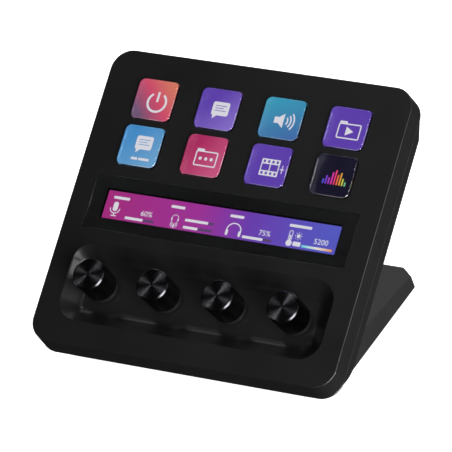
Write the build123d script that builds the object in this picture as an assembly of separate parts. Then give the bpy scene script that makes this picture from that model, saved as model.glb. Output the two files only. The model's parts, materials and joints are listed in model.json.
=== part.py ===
from build123d import *
import os
from math import cos, pi, radians, sin, sqrt, tan

# A desk macro keypad: a leaning slab with clear push keys, a lit touch strip and dials that turn
# and push, on a flat wedge foot. Millimetres; X runs right, Y runs back, Z runs up.
#
# Slab pieces are drawn in the slab's own frame: origin at the centre of its face, X right, Y up the
# face, Z out of it. "Depth" is counted from the face into the slab. Stand pieces are drawn in the
# desk frame, whose origin is the middle of the slab's lowest edge. Both end in one frame, with the
# origin under the middle of the whole keypad.

# ---------------------------------------------------------------- driving dimensions
tilt = 47.5                 # lean of the face from the desk, degrees

# keys
key_columns = 4
key_rows = 2
key_width = 18.4
key_height = 18.0
key_corner = 2.6
key_pitch_x = 29.8
key_pitch_y = 21.1
key_stand = 1.3             # key top above the face
key_travel = 0.8
key_clearance = 0.2         # key to its window, all round
key_flange = 1.25           # rim that holds the key in, width
key_flange_thickness = 0.4
key_edge = 0.45             # rounding of the key's top edge
key_hollow = 0.15           # dishing of the key's top
flange_room = 0.6           # key flange to the edge of its pocket

# margins of the face, from its top edge down
top_margin = 12.0
glass_gap = 5.4             # keys to glass
dish_gap = 6.5              # glass to dish
bottom_margin = 11.0
side_margin = 9.3           # glass to the slab's side

# touch glass and lit strip
glass_border = 6.8          # lit area to the glass's end
glass_height = 24.0
glass_corner = 0.5
glass_thickness = 1.1
glass_ledge = 3.0           # rim of the bezel that the glass lies on
glass_clearance = 0.1
glass_bevel = 0.12
lit_height = 12.4
lit_drop = 0.35             # lit strip below the glass's middle line

# dish and dials
dish_height = 34.0
dish_side_margin = 10.0     # dish to the slab's side
dish_corner = 9.0
dish_depth = 5.6
dish_wall = 1.6
dish_draft = 8.0            # lean of the dish wall, degrees
dish_floor_radius = 4.2
rim_bevel = 0.35
dial_radius = 7.0
dial_stand = 12.2           # dial top above the face
dial_gap = 0.9              # dial foot to dish floor
dial_travel = 0.5
dial_top_thickness = 1.5
dial_top_bevel = 0.45
dial_ring_height = 2.8      # plain ring at the dial's foot
dial_ring_radius = 6.7
dial_sleeve_radius = 5.85
knurl_count = 72
knurl_depth = 0.22
shaft_radius = 3.0
shaft_flat = 1.5            # flat of the D shaft, from its axis
shaft_bevel = 0.4
shaft_top_gap = 3.2         # dial top to shaft end
shaft_clearance = 0.08
fit_clearance = 0.05
hollow_clearance = 0.3      # pressed dial to the bush's end
nut_clearance = 0.5         # nut's corners to the dial's hollow
dial_band = 0.7             # plain band round the dial's top
dial_foot_bevel = 0.3

# encoders and dial board
bush_radius = 3.5
bush_plate = 0.7
bush_stand = 2.3            # bush above the dish floor
encoder_width = 12.0
encoder_height = 12.4
encoder_thickness = 4.6
encoder_floor = 0.6
encoder_cavity = 9.0
wheel_radius = 3.9
wheel_thickness = 1.0
wheel_notches = 20
wheel_notch_depth = 0.3
slider_width = 8.6
slider_thickness = 1.0
stem_radius = 1.2
stem_length = 0.45
dome_radius = 2.4
dome_height = 0.15
nut_across = 9.0
nut_thickness = 1.8
dial_board_margin = 4.0     # dial board to the dish's end
dial_board_height = 17.0
board_thickness = 1.2
pin_room = 1.2              # solder side of the dial board to the back wall

# case
front_wall = 2.0
key_web = 0.9               # bezel thickness over the key flanges
side_wall = 2.0
back_wall = 1.8
slab_corner = 9.3
slab_edge = 0.4
slab_flare = 1.2            # lower side at the ledge's depth, beyond the face's lower edge
seam_depth = 10.5
ledge_depth = 11.4          # back of the rim round the raised back
raised_corner = 16.0        # lower corners of the raised back
shoulder_inset = 9.7        # face's upper edge to the foot of the raised back
shoulder_run = 7.0
seam_bevel = 0.2
tongue_height = 1.5
tongue_thickness = 0.9
tongue_clearance = 0.1
boss_inset = 5.4            # screw axis to the slab's side
boss_radius = 2.5
boss_root = 0.5             # how far bosses and the dish run into the front wall
boss_wall = 0.9             # the cover's bosses stand wider than the bezel's
top_boss_inset = 20.5
bottom_boss_inset = 20.0
middle_boss_rise = 5.0      # middle screws above the face's centre

# display
seat_gap = 0.05             # key flange to the bezel web
mat_thickness = 0.3
mat_gap = 0.15              # pressed key to the mat
mat_window_margin = 0.85    # mat window beyond the key, under its flange
mat_border = 3.0
cell_thickness = 1.2
guide_thickness = 1.4
guide_inset = 0.6
tray_sheet = 0.4
tray_clearance = 0.1
display_border = 6.4        # lit area to the display's side
display_top_border = 5.0
display_ledge = 6.2         # lit area to the display's lower end
frame_thickness = 1.0
frame_window_inset = 14.0
standoff_length = 1.4
standoff_radius = 2.4

# main board and its parts
main_board_width = 96.0
main_board_height = 58.0
main_board_rise = 21.0      # board centre above the face's centre
board_screw_inset = 4.0
tab_rises = (36.0, -11.0)   # frame screws above the face's centre
tab_height = 8.0
tab_root = 2.0              # tab's overlap on the frame
processor_size = 14.0
connector_height = 4.0
connector_inset = 3.0       # connectors to the board's lower edge
connector_thickness = 1.4
display_flex_width = 20.0
display_flex_x = -14.0
dial_flex_width = 10.0
dial_flex_x = 8.0
flex_thickness = 0.2
flex_bend = 0.6
flex_gap = 0.15             # ribbon's end to the edge that it is bonded to
flex_reach = 2.0            # display ribbon's turn beyond the display
dial_flex_straight = 9.0    # dial ribbon's straight ends
connector_straight = 5.0
usb_width = 8.94
usb_height = 3.26
usb_wall = 0.3
usb_base = 1.2
usb_tongue_width = 6.7
usb_tongue_thickness = 0.7
usb_recess = 0.1
usb_tongue_recess = 1.0
usb_clearance = 0.35
usb_rise = 20.0             # port centre above the face's centre

# screws
case_screw_radius = 1.2
case_screw_length = 7.5
case_screw_seat = 3.0       # seat below the back face
case_screw_head = 1.5
small_screw_radius = 0.95
small_screw_length = 3.4
small_head_radius = 1.8
small_head_height = 0.9
stand_screw_radius = 1.5
stand_screw_length = 7.0
stand_head_radius = 2.75
stand_head_height = 1.7
stand_screw_x = 24.0
stand_screw_gap = 0.75      # lower screws' heads above the foot's top
stand_screw_pitch = 25.0    # lower to upper screws
stand_boss_radius = 3.0
stand_boss_length = 3.7
boss_room = 0.5             # notch in the dial board round a boss
screw_clearance = 0.05
pilot_spare = 0.4           # pilot hole beyond the screw's end

# stand
foot_side_step = 6.3        # slab side to foot side, at the slab's lower edge
foot_side_angle = 7.6       # narrowing of the foot towards the rear, degrees
foot_reach = 126.3          # slab's lower edge to the foot's rear edge
foot_clip_x = 8.0
foot_clip_y = 8.8
foot_front_clip_x = 8.0     # front corners, hidden behind the slab's rounded ones
foot_front_clip_y = 18.0
foot_front_spare = 5.0      # plan in front of the slab's lowest edge, cut off by the side view
foot_front_height = 10.4
foot_rear_height = 4.8
foot_draft = 16.7
foot_wall = 1.8
foot_edge = 0.4
foot_nose = 2.5             # slab's lower edge to the foot's front face
base_thickness = 1.6
base_clearance = 0.15
bracket_thickness = 2.0
bracket_width = 60.0
ballast_width = 72.0
ballast_front = 16.0
ballast_rear = 100.0
bracket_top_gap = 4.0       # neck's upper end to the bracket's
bracket_slot_clearance = 0.3
bracket_nose_gap = 0.5
bend_radius = 1.5
neck_width = 74.0
neck_start = 6.0            # lower and upper ends above the slab's lower edge
neck_rise = 56.0
neck_thickness = 6.0
neck_wall = 1.6
neck_corner = 7.0
neck_draft = 12.0
neck_edge = 1.2
pad_thickness = 1.4
pad_length = 26.0
pad_width = 9.0
pad_bevel = 0.3
front_pad_place = (42.0, 13.0)
rear_pad_place = (27.0, 114.0)
front_foot_screw = (50.0, 26.0)
rear_foot_screw = (41.0, 104.0)
foot_boss_radius = 2.8

# ---------------------------------------------------------------- worked-out sizes
key_field_width = (key_columns - 1) * key_pitch_x + key_width
key_field_height = (key_rows - 1) * key_pitch_y + key_height
glass_length = key_field_width + 2 * glass_border
slab_width = glass_length + 2 * side_margin
slab_length = (top_margin + key_field_height + glass_gap + glass_height
               + dish_gap + dish_height + bottom_margin)
slab_top = slab_length / 2
slab_bottom = -slab_length / 2
key_field_top = slab_top - top_margin
key_field_y = key_field_top - key_field_height / 2
glass_y = key_field_top - key_field_height - glass_gap - glass_height / 2
dish_y = glass_y - glass_height / 2 - dish_gap - dish_height / 2
dish_length = slab_width - 2 * dish_side_margin
lit_bottom = glass_y - lit_drop - lit_height / 2

key_foot_depth = key_web + seat_gap + key_flange_thickness
mat_depth = key_foot_depth + key_travel + mat_gap
display_depth = mat_depth + mat_thickness
guide_depth = display_depth + cell_thickness
tray_back = guide_depth + guide_thickness + tray_sheet
display_width = key_field_width + 2 * display_border
display_top = key_field_top + display_top_border
display_bottom = lit_bottom - display_ledge
display_height = display_top - display_bottom
display_y = (display_top + display_bottom) / 2
tray_width = display_width + 2 * (tray_clearance + tray_sheet)
tray_height = display_height + 2 * (tray_clearance + tray_sheet)
frame_back = tray_back + frame_thickness
board_depth = frame_back + standoff_length
board_back = board_depth + board_thickness

encoder_depth = dish_depth + dish_wall
case_depth = encoder_depth + bush_plate
encoder_back = encoder_depth + encoder_thickness
dial_board_back = encoder_back + board_thickness
slab_thickness = dial_board_back + pin_room + back_wall
inner_back = slab_thickness - back_wall
cavity_floor = encoder_back - encoder_floor
wheel_depth = case_depth + 2 * fit_clearance
slider_depth = wheel_depth + wheel_thickness + fit_clearance
bush_end = dish_depth - bush_stand
dial_foot = dish_depth - dial_gap
ring_top = dial_foot - dial_ring_height
dial_hollow = bush_end - dial_travel - hollow_clearance
nut_hollow_radius = nut_across / sqrt(3) + nut_clearance
shaft_end = -dial_stand + shaft_top_gap

boss_x = slab_width / 2 - boss_inset
case_boss_ys = (slab_top - top_boss_inset, middle_boss_rise, slab_bottom + bottom_boss_inset)
case_screw_depth = slab_thickness - case_screw_seat
connector_y = main_board_rise - main_board_height / 2 + connector_height / 2 + connector_inset
flex_depth = board_back + connector_thickness / 2
ribbon_end = flex_thickness / 2 + fit_clearance

foot_slope = (foot_front_height - foot_rear_height) / foot_reach
screw_stack = (bracket_thickness + stand_head_height) * cos(radians(tilt))
low_screw_rise = ((foot_front_height + screw_stack) / sin(radians(tilt))
                  + stand_head_radius + stand_screw_gap)
bracket_rise = neck_rise - bracket_top_gap
slab_run = Vector(0, cos(radians(tilt)), sin(radians(tilt)))       # up the slab's back
slab_out = Vector(0, -sin(radians(tilt)), cos(radians(tilt)))      # out of the face
face_centre = slab_run * (slab_length / 2) + slab_out * slab_thickness
to_desk = Location(face_centre, (tilt, 0, 0))


# ---------------------------------------------------------------- helpers
def plate(width, height, corner, front, back, x=0.0, y=0.0):
    """A rounded rectangle between two depths of the slab."""
    return Pos(x, y, -back) * extrude(RectangleRounded(width, height, corner), back - front)


def disc(radius, front, back, x=0.0, y=0.0):
    """A round bar between two depths of the slab."""
    return Pos(x, y, -(front + back) / 2) * Cylinder(radius, back - front)


def front_edges(solid):
    return solid.faces().sort_by(Axis.Z)[-1].edges()


def back_edges(solid):
    return solid.faces().sort_by(Axis.Z)[0].edges()


def key_places():
    """Key centres in reading order, from the top left."""
    first_x = -key_pitch_x * (key_columns - 1) / 2
    first_y = key_field_top - key_height / 2
    return [(first_x + column * key_pitch_x, first_y - row * key_pitch_y)
            for row in range(key_rows) for column in range(key_columns)]


def dial_places():
    """Dial centres from the left; each dial stands under a column of keys."""
    return [(x, dish_y) for x, y in key_places()[:key_columns]]


def case_boss_places():
    return [(side * boss_x, y) for side in (-1, 1) for y in case_boss_ys]


def tab_places():
    return [(side * boss_x, y) for side in (-1, 1) for y in tab_rises]


def board_screw_places():
    x = main_board_width / 2 - board_screw_inset
    y = main_board_height / 2 - board_screw_inset
    return [(sx * x, main_board_rise + sy * y) for sx in (-1, 1) for sy in (-1, 1)]


def stand_screw_places():
    rises = (low_screw_rise, low_screw_rise + stand_screw_pitch)
    return [(side * stand_screw_x, slab_bottom + rise) for side in (-1, 1) for rise in rises]


def toothed_outline(radius, depth, count):
    """A ring of V grooves, as a flat face."""
    step = 2 * pi / count
    points = []
    for i in range(count):
        for r, share in ((radius, 0.0), (radius, 0.45), (radius - depth, 0.72)):
            angle = (i + share) * step
            points.append((r * cos(angle), r * sin(angle)))
    return make_face(Polyline(*points, close=True))


def screw(radius, length, head_radius, head_height):
    """A screw along Z: its head seats at z = 0 and lies below, its shank runs up."""
    shank = Pos(0, 0, length / 2) * Cylinder(radius, length)
    head = Pos(0, 0, -head_height / 2) * Cylinder(head_radius, head_height)
    head = chamfer(back_edges(head), head_height * 0.25)
    slot = Box(head_radius * 1.1, head_radius * 0.28, head_height)
    cross = Pos(0, 0, -head_height) * (slot + Rot(0, 0, 90) * slot)
    return shank + head - cross


# ---------------------------------------------------------------- case
def slab_block(front, back):
    """The slab without its raised back, between two depths; its lower side flares out."""
    outline = RectangleRounded(slab_width, slab_length, slab_corner)
    slant = Vector(0, -slab_flare, -ledge_depth)
    block = extrude(outline, amount=-ledge_depth) + extrude(outline, slant.length, dir=slant)
    reach = 2 * slab_length
    return block & plate(reach, reach, slab_corner, front, back)


def shoulder(drop):
    """Room behind the slab's upper end, where the back steps forward; drop moves it forward."""
    foot_y = slab_top - shoulder_inset
    points = [(foot_y - shoulder_run, slab_thickness), (foot_y, ledge_depth),
              (slab_length, ledge_depth), (slab_length, 2 * slab_thickness),
              (foot_y - shoulder_run, 2 * slab_thickness)]
    outline = make_face(Polyline(*[(y, drop - depth) for y, depth in points], close=True))
    return extrude(Plane.YZ * outline, amount=slab_width, both=True)


def raised_back():
    """The thick part of the slab's back: large lower corners, and a slope at its upper end."""
    top = slab_top - shoulder_inset
    outline = Pos(0, (top + raised_corner + slab_bottom) / 2) * RectangleRounded(
        slab_width, top + raised_corner - slab_bottom, raised_corner)
    outline -= Pos(0, top + raised_corner / 2) * Rectangle(slab_width, raised_corner)
    front = seam_depth + seam_bevel
    block = Pos(0, 0, -slab_thickness) * extrude(outline, slab_thickness - front) - shoulder(0)
    return fillet(back_edges(block), slab_edge)


def dish_cavity():
    outline = RectangleRounded(dish_length, dish_height, dish_corner)
    bowl = extrude(outline, amount=-dish_depth, taper=dish_draft)
    bowl = fillet(back_edges(bowl), dish_floor_radius)
    flare = RectangleRounded(dish_length + 2 * rim_bevel, dish_height + 2 * rim_bevel,
                             dish_corner + rim_bevel)
    rim = extrude(flare, amount=-rim_bevel, taper=45)
    return Pos(0, dish_y, 0) * (bowl + rim)


def glass_cutout():
    seat = plate(glass_length + 2 * glass_clearance, glass_height + 2 * glass_clearance,
                 glass_corner + glass_clearance, 0, glass_thickness, y=glass_y)
    window = plate(glass_length - 2 * glass_ledge, glass_height - 2 * glass_ledge,
                   glass_corner, 0, front_wall, y=glass_y)
    return seat + window


def front_bezel():
    shell = slab_block(0, seam_depth)
    shell = fillet(front_edges(shell), slab_edge)
    shell = chamfer(back_edges(shell), seam_bevel)
    shell -= plate(slab_width - 2 * side_wall, slab_length - 2 * side_wall,
                   slab_corner - side_wall, front_wall, seam_depth)
    shell += plate(dish_length + 2 * dish_wall, dish_height + 2 * dish_wall,
                   dish_corner + dish_wall, boss_root, encoder_depth, y=dish_y)
    shell -= dish_cavity()
    shell -= glass_cutout()
    relief = 2 * (key_flange + flange_room)
    shell -= plate(key_field_width + relief, key_field_height + relief, key_corner + key_flange,
                   key_web, front_wall, y=key_field_y)
    for x, y in key_places():
        shell -= plate(key_width + 2 * key_clearance, key_height + 2 * key_clearance,
                       key_corner + key_clearance, 0, key_web, x, y)
    for x, y in dial_places():
        shell -= disc(bush_radius + screw_clearance, 0, encoder_depth, x, y)
    for x, y in case_boss_places():
        shell += disc(boss_radius, front_wall - boss_root, seam_depth, x, y)
        shell -= disc(case_screw_radius + screw_clearance,
                      case_screw_depth - case_screw_length - pilot_spare, seam_depth, x, y)
    for x, y in tab_places():
        shell += disc(boss_radius, front_wall - boss_root, tray_back, x, y)
        shell -= disc(small_screw_radius + screw_clearance,
                      frame_back - small_screw_length - pilot_spare, tray_back, x, y)
    return shell


def usb_opening():
    outline = SlotOverall(usb_width + 2 * usb_clearance, usb_height + 2 * usb_clearance)
    return Pos(0, usb_rise, -slab_thickness) * extrude(outline, back_wall)


def rear_cover():
    rim = fillet(back_edges(slab_block(seam_depth, ledge_depth)), slab_edge)
    tub = chamfer(front_edges(rim), seam_bevel) + raised_back()
    outer = side_wall + tongue_clearance
    inner = outer + tongue_thickness
    tongue_end = seam_depth - tongue_height
    tub += plate(slab_width - 2 * outer, slab_length - 2 * outer, slab_corner - outer,
                 tongue_end, seam_depth)
    room = plate(slab_width - 2 * inner, slab_length - 2 * inner, raised_corner - inner,
                 tongue_end, inner_back)
    tub -= room - shoulder(back_wall)
    for x, y in case_boss_places():
        tub -= disc(boss_radius + 2 * tongue_clearance, tongue_end, seam_depth, x, y)
    for x, y in case_boss_places():
        tub += disc(boss_radius + boss_wall, seam_depth, inner_back, x, y)
        tub -= disc(case_screw_radius + screw_clearance, seam_depth, slab_thickness, x, y)
        tub -= disc(2 * case_screw_radius + 2 * screw_clearance,
                    case_screw_depth, slab_thickness, x, y)
    for x, y in stand_screw_places():
        tub += disc(stand_boss_radius, inner_back - stand_boss_length, inner_back, x, y)
        tub -= disc(stand_screw_radius + screw_clearance,
                    inner_back - stand_boss_length, slab_thickness, x, y)
    return tub - usb_opening()


def touch_glass():
    glass = plate(glass_length, glass_height, glass_corner, 0, glass_thickness, y=glass_y)
    return chamfer(front_edges(glass), glass_bevel)


def key_cap(x, y):
    cap = plate(key_width, key_height, key_corner, -key_stand, key_foot_depth, x, y)
    cap = fillet(front_edges(cap), key_edge)
    hollow_reach = min(key_width, key_height) / 2 - key_edge
    ball_radius = (hollow_reach ** 2 + key_hollow ** 2) / (2 * key_hollow)
    cap -= Pos(x, y, key_stand - key_hollow + ball_radius) * Sphere(ball_radius)
    cap += plate(key_width + 2 * key_flange, key_height + 2 * key_flange,
                 key_corner + key_flange, key_foot_depth - key_flange_thickness,
                 key_foot_depth, x, y)
    return cap


# ---------------------------------------------------------------- display and boards
def key_mat():
    mat = plate(key_field_width + 2 * mat_border, key_field_height + 2 * mat_border, 2.0,
                mat_depth, display_depth, y=key_field_y)
    for x, y in key_places():
        mat -= plate(key_width + 2 * mat_window_margin, key_height + 2 * mat_window_margin,
                     key_corner + mat_window_margin, mat_depth, display_depth, x, y)
    return mat


def display_cell():
    return plate(display_width, display_height, 0.8, display_depth, guide_depth, y=display_y)


def light_guide():
    return plate(display_width - 2 * guide_inset, display_height - 2 * guide_inset, 0.8,
                 guide_depth, guide_depth + guide_thickness, y=display_y)


def display_tray():
    tray = plate(tray_width, tray_height, 1.2, display_depth + 0.2, tray_back, y=display_y)
    tray -= plate(display_width + 2 * tray_clearance, display_height + 2 * tray_clearance,
                  0.8, display_depth, tray_back - tray_sheet, y=display_y)
    notch_y = display_bottom - tray_clearance
    notch = plate(display_flex_width + 2, 2 * tray_sheet, 0.2, display_depth,
                  tray_back - tray_sheet, display_flex_x, notch_y - tray_sheet / 2)
    return tray - notch


def mid_frame():
    frame = plate(tray_width, tray_height, 1.5, tray_back, frame_back, y=display_y)
    frame -= plate(tray_width - 2 * frame_window_inset, tray_height - 2 * frame_window_inset,
                   3.0, tray_back, frame_back, y=display_y)
    tab_reach = boss_x + boss_radius - tray_width / 2 + tab_root
    for x, y in tab_places():
        side = 1 if x > 0 else -1
        tab_x = side * (tray_width / 2 - tab_root + tab_reach / 2)
        frame += plate(tab_reach, tab_height, 2.0, tray_back, frame_back, tab_x, y)
        frame -= disc(small_screw_radius + screw_clearance, tray_back, frame_back, x, y)
    for x, y in board_screw_places():
        frame += disc(standoff_radius, tray_back, board_depth, x, y)
        frame -= disc(small_screw_radius + screw_clearance, tray_back, board_depth, x, y)
    return frame


def main_board():
    board = plate(main_board_width, main_board_height, 2.0, board_depth, board_back,
                  y=main_board_rise)
    for x, y in board_screw_places():
        board -= disc(small_screw_radius + screw_clearance, board_depth, board_back, x, y)
    return board


def board_part(width, height, thickness, x, y):
    return Pos(x, y, -board_back - thickness / 2) * Box(width, height, thickness)


def board_parts():
    """Processor, memory, power coils, crystal and the two ribbon connectors."""
    left = -main_board_width / 4
    right = main_board_width / 4
    high = main_board_rise + main_board_height / 4
    low = main_board_rise - main_board_height / 8
    chips = [
        board_part(processor_size, processor_size, 1.2, left, high),
        board_part(processor_size * 0.75, processor_size * 0.6, 1.0, 0, high + 2),
        board_part(7, 7, 2.6, right, high),
        board_part(7, 7, 2.6, right, high - processor_size * 0.7),
        board_part(3.2, 2.5, 0.8, left + processor_size * 0.85, high - processor_size * 0.55),
        board_part(6, 5, 1.4, right, low),
        board_part(9, 6, 1.1, left, low),
        board_part(display_flex_width + 2, connector_height, connector_thickness,
                   display_flex_x, connector_y),
        board_part(dial_flex_width + 2, connector_height, connector_thickness,
                   dial_flex_x, connector_y),
    ]
    return Compound(children=[chip.solid() for chip in chips])


def usb_socket():
    """A straight socket on the main board; its mouth lies just inside the back face."""
    mouth = slab_thickness - usb_recess
    base = Pos(0, usb_rise, -mouth)
    shell = base * extrude(SlotOverall(usb_width, usb_height), mouth - board_back)
    inside = SlotOverall(usb_width - 2 * usb_wall, usb_height - 2 * usb_wall)
    shell -= base * extrude(inside, mouth - board_back - usb_base)
    tongue_length = mouth - board_back - usb_base - usb_tongue_recess
    tongue = Box(usb_tongue_width, usb_tongue_thickness, tongue_length)
    return shell + Pos(0, usb_rise, -board_back - usb_base - tongue_length / 2) * tongue


def ribbon(points, width, x):
    """A flat cable whose side view runs through points of (y, depth), with bent corners."""
    path = FilletPolyline(*[(y, -depth) for y, depth in points], radius=flex_bend)
    side = Plane.YZ * make_face(offset(path, amount=flex_thickness / 2, side=Side.BOTH))
    return Pos(x, 0, 0) * extrude(side, amount=width / 2, both=True)


def display_flex():
    cell_middle = (display_depth + guide_depth) / 2
    turn = display_bottom - flex_reach
    connector_edge = connector_y - connector_height / 2 - ribbon_end
    return ribbon([(display_bottom - flex_gap, cell_middle), (turn, cell_middle),
                   (turn, flex_depth), (connector_edge, flex_depth)],
                  display_flex_width, display_flex_x)


def dial_flex():
    board_edge = dish_y + dial_board_height / 2
    middle = (encoder_back + dial_board_back) / 2
    connector_edge = connector_y - connector_height / 2 - ribbon_end
    return ribbon([(board_edge + flex_gap, middle), (board_edge + dial_flex_straight, middle),
                   (connector_edge - connector_straight, flex_depth), (connector_edge, flex_depth)],
                  dial_flex_width, dial_flex_x)


def dial_board():
    board = plate(dish_length - 2 * dial_board_margin, dial_board_height, 1.5,
                  encoder_back, dial_board_back, y=dish_y)
    for x, y in stand_screw_places():
        board -= disc(stand_boss_radius + boss_room, encoder_back, dial_board_back, x, y)
    return board


# ---------------------------------------------------------------- encoders and dials
def encoder_case(x, y):
    case = plate(encoder_width, encoder_height, 0.5, case_depth, encoder_back, x, y)
    return case - plate(encoder_cavity, encoder_cavity, 0.6, case_depth, cavity_floor, x, y)


def encoder_bush(x, y):
    top = plate(encoder_width, encoder_height, 0.5, encoder_depth, case_depth, x, y)
    top += disc(bush_radius, bush_end, case_depth, x, y)
    return top - disc(shaft_radius + shaft_clearance, bush_end, case_depth, x, y)


def push_slider(x, y):
    back = slider_depth + slider_thickness
    slider = plate(slider_width, slider_width, 0.6, slider_depth, back, x, y)
    return slider + disc(stem_radius, back, back + stem_length, x, y)


def push_domes():
    domes = [Pos(x, y, -cavity_floor + dome_height / 2)
             * Cone(dome_radius, dome_radius * 0.6, dome_height) for x, y in dial_places()]
    return Compound(children=[dome.solid() for dome in domes])


def dial_shaft(x, y):
    shaft = disc(shaft_radius, shaft_end, wheel_depth, x, y)
    shaft = chamfer(front_edges(shaft), shaft_bevel)
    flat = Box(shaft_radius, 2 * shaft_radius, dial_hollow - shaft_end)
    flat_x = x + shaft_flat + shaft_radius / 2
    shaft -= Pos(flat_x, y, -(dial_hollow + shaft_end) / 2) * flat
    wheel = extrude(toothed_outline(wheel_radius, wheel_notch_depth, wheel_notches), wheel_thickness)
    return shaft + Pos(x, y, -wheel_depth - wheel_thickness) * wheel


def dial_core(x, y):
    """Plastic core of a dial: it grips the D shaft, and its foot shows as a plain ring."""
    sleeve_end = -dial_stand + dial_top_thickness + fit_clearance
    ring = disc(dial_ring_radius, ring_top, dial_foot, x, y)
    ring = chamfer(back_edges(ring), dial_foot_bevel)
    core = ring + disc(dial_sleeve_radius, sleeve_end, ring_top, x, y)
    core -= disc(nut_hollow_radius, dial_hollow, dial_foot, x, y)
    bore = Circle(shaft_radius + fit_clearance)
    flat_x = shaft_flat + fit_clearance + shaft_radius
    bore -= Pos(flat_x, 0) * Rectangle(2 * shaft_radius, 3 * shaft_radius)
    bore_end = shaft_end - 2 * fit_clearance
    return core - Pos(x, y, -dial_hollow) * extrude(bore, dial_hollow - bore_end)


def dial_cap(x, y):
    """Knurled aluminium cap with a plain bevelled band round its top."""
    cap = disc(dial_radius, -dial_stand, -dial_stand + dial_band, x, y)
    cap = chamfer(front_edges(cap), dial_top_bevel)
    knurled = extrude(toothed_outline(dial_radius, knurl_depth, knurl_count),
                      dial_stand - dial_band + ring_top)
    cap += Pos(x, y, -ring_top) * knurled
    return cap - disc(dial_sleeve_radius + fit_clearance,
                      -dial_stand + dial_top_thickness, ring_top, x, y)


def encoder_nuts():
    outline = RegularPolygon(nut_across / 2, 6, major_radius=False)
    outline -= Circle(bush_radius + screw_clearance)
    nuts = [Pos(x, y, -dish_depth) * extrude(outline, nut_thickness) for x, y in dial_places()]
    return Compound(children=[nut.solid() for nut in nuts])


# ---------------------------------------------------------------- screws of the slab
def case_screws():
    one = screw(case_screw_radius, case_screw_length, 2 * case_screw_radius, case_screw_head)
    return Compound(children=[Pos(x, y, -case_screw_depth) * one for x, y in case_boss_places()])


def frame_screws():
    one = screw(small_screw_radius, small_screw_length, small_head_radius, small_head_height)
    places = [Pos(x, y, -frame_back) for x, y in tab_places()]
    places += [Pos(x, y, -board_back) for x, y in board_screw_places()]
    return Compound(children=[place * one for place in places])


def stand_screws():
    one = screw(stand_screw_radius, stand_screw_length, stand_head_radius, stand_head_height)
    seat = -slab_thickness - bracket_thickness
    return Compound(children=[Pos(x, y, seat) * one for x, y in stand_screw_places()])


# ---------------------------------------------------------------- stand, in the desk frame
def foot_plan(inset):
    """The foot seen from above at its underside, shrunk by inset."""
    half = slab_width / 2 - foot_side_step
    lean = tan(radians(foot_side_angle))
    side_end = foot_reach - foot_clip_y
    corner = half - side_end * lean
    right = [(half - foot_front_clip_x, -foot_front_spare),
             (half - foot_front_clip_y * lean, foot_front_clip_y),
             (corner, side_end), (corner - foot_clip_x, foot_reach)]
    left = [(-x, y) for x, y in reversed(right)]
    face = make_face(Polyline(*right, *left, close=True))
    if inset > 0:
        face = offset(face, amount=-inset, kind=Kind.INTERSECTION)
    return face


def foot_side_view(drop, nose):
    """Side outline of the wedge, its top lowered by drop; it leans on the slab's back."""
    front_height = foot_front_height - drop
    top_y = front_height / (tan(radians(tilt)) + foot_slope)
    far = foot_reach + 5.0
    points = [(nose, 0), (nose, nose * tan(radians(tilt))),
              (top_y, top_y * tan(radians(tilt))), (far, front_height - far * foot_slope),
              (far, 0)]
    outline = Plane.YZ * make_face(Polyline(*points, close=True))
    return extrude(outline, amount=slab_width, both=True)


def foot_wedge():
    prism = extrude(foot_plan(0), foot_front_height + 2.0, taper=foot_draft)
    return prism & foot_side_view(0, foot_nose)


def foot_screw_places():
    return [(side * x, y) for side in (-1, 1) for x, y in (front_foot_screw, rear_foot_screw)]


def stand_foot():
    wedge = foot_wedge()
    top_edges = wedge.edges().filter_by(lambda e: e.center().Z > foot_rear_height - 1.0
                                        and e.center().Y > foot_front_height + 1.0)
    shell = fillet(top_edges, foot_edge)
    room = extrude(foot_plan(foot_wall), foot_front_height + 2.0, taper=foot_draft)
    room = room & foot_side_view(foot_wall, foot_nose + foot_wall)
    room -= Box(2 * slab_width, 2 * (foot_nose + foot_wall), 4 * foot_front_height)
    shell -= room
    for x, y in foot_screw_places():
        post = Pos(x, y, foot_front_height / 2 + base_thickness)
        boss = post * Cylinder(foot_boss_radius, foot_front_height)
        shell += boss & foot_side_view(foot_wall / 2, foot_nose)
        pilot_end = base_thickness / 2 + small_screw_length + pilot_spare / 2
        shell -= Pos(x, y, pilot_end / 2) * Cylinder(small_screw_radius + screw_clearance,
                                                     pilot_end)
    slot_width = bracket_width + 2 * bracket_slot_clearance
    slot = plate(slot_width, slab_length, 0.5, slab_thickness,
                 slab_thickness + bracket_thickness + bracket_slot_clearance)
    return shell - to_desk * slot


def stand_base():
    base = extrude(foot_plan(foot_wall + base_clearance), base_thickness, taper=foot_draft)
    front = foot_nose + foot_wall + base_clearance
    base -= Box(2 * slab_width, 2 * front, 4 * base_thickness)
    for x, y in foot_screw_places():
        base -= Pos(x, y, 0) * Cylinder(small_screw_radius + screw_clearance, 4 * base_thickness)
        base -= Pos(x, y, 0) * Cylinder(small_head_radius + 2 * screw_clearance, base_thickness)
    return base


def base_screws():
    one = screw(small_screw_radius, small_screw_length, small_head_radius, base_thickness / 2)
    return Compound(children=[Pos(x, y, base_thickness / 2) * one
                              for x, y in foot_screw_places()])


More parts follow.
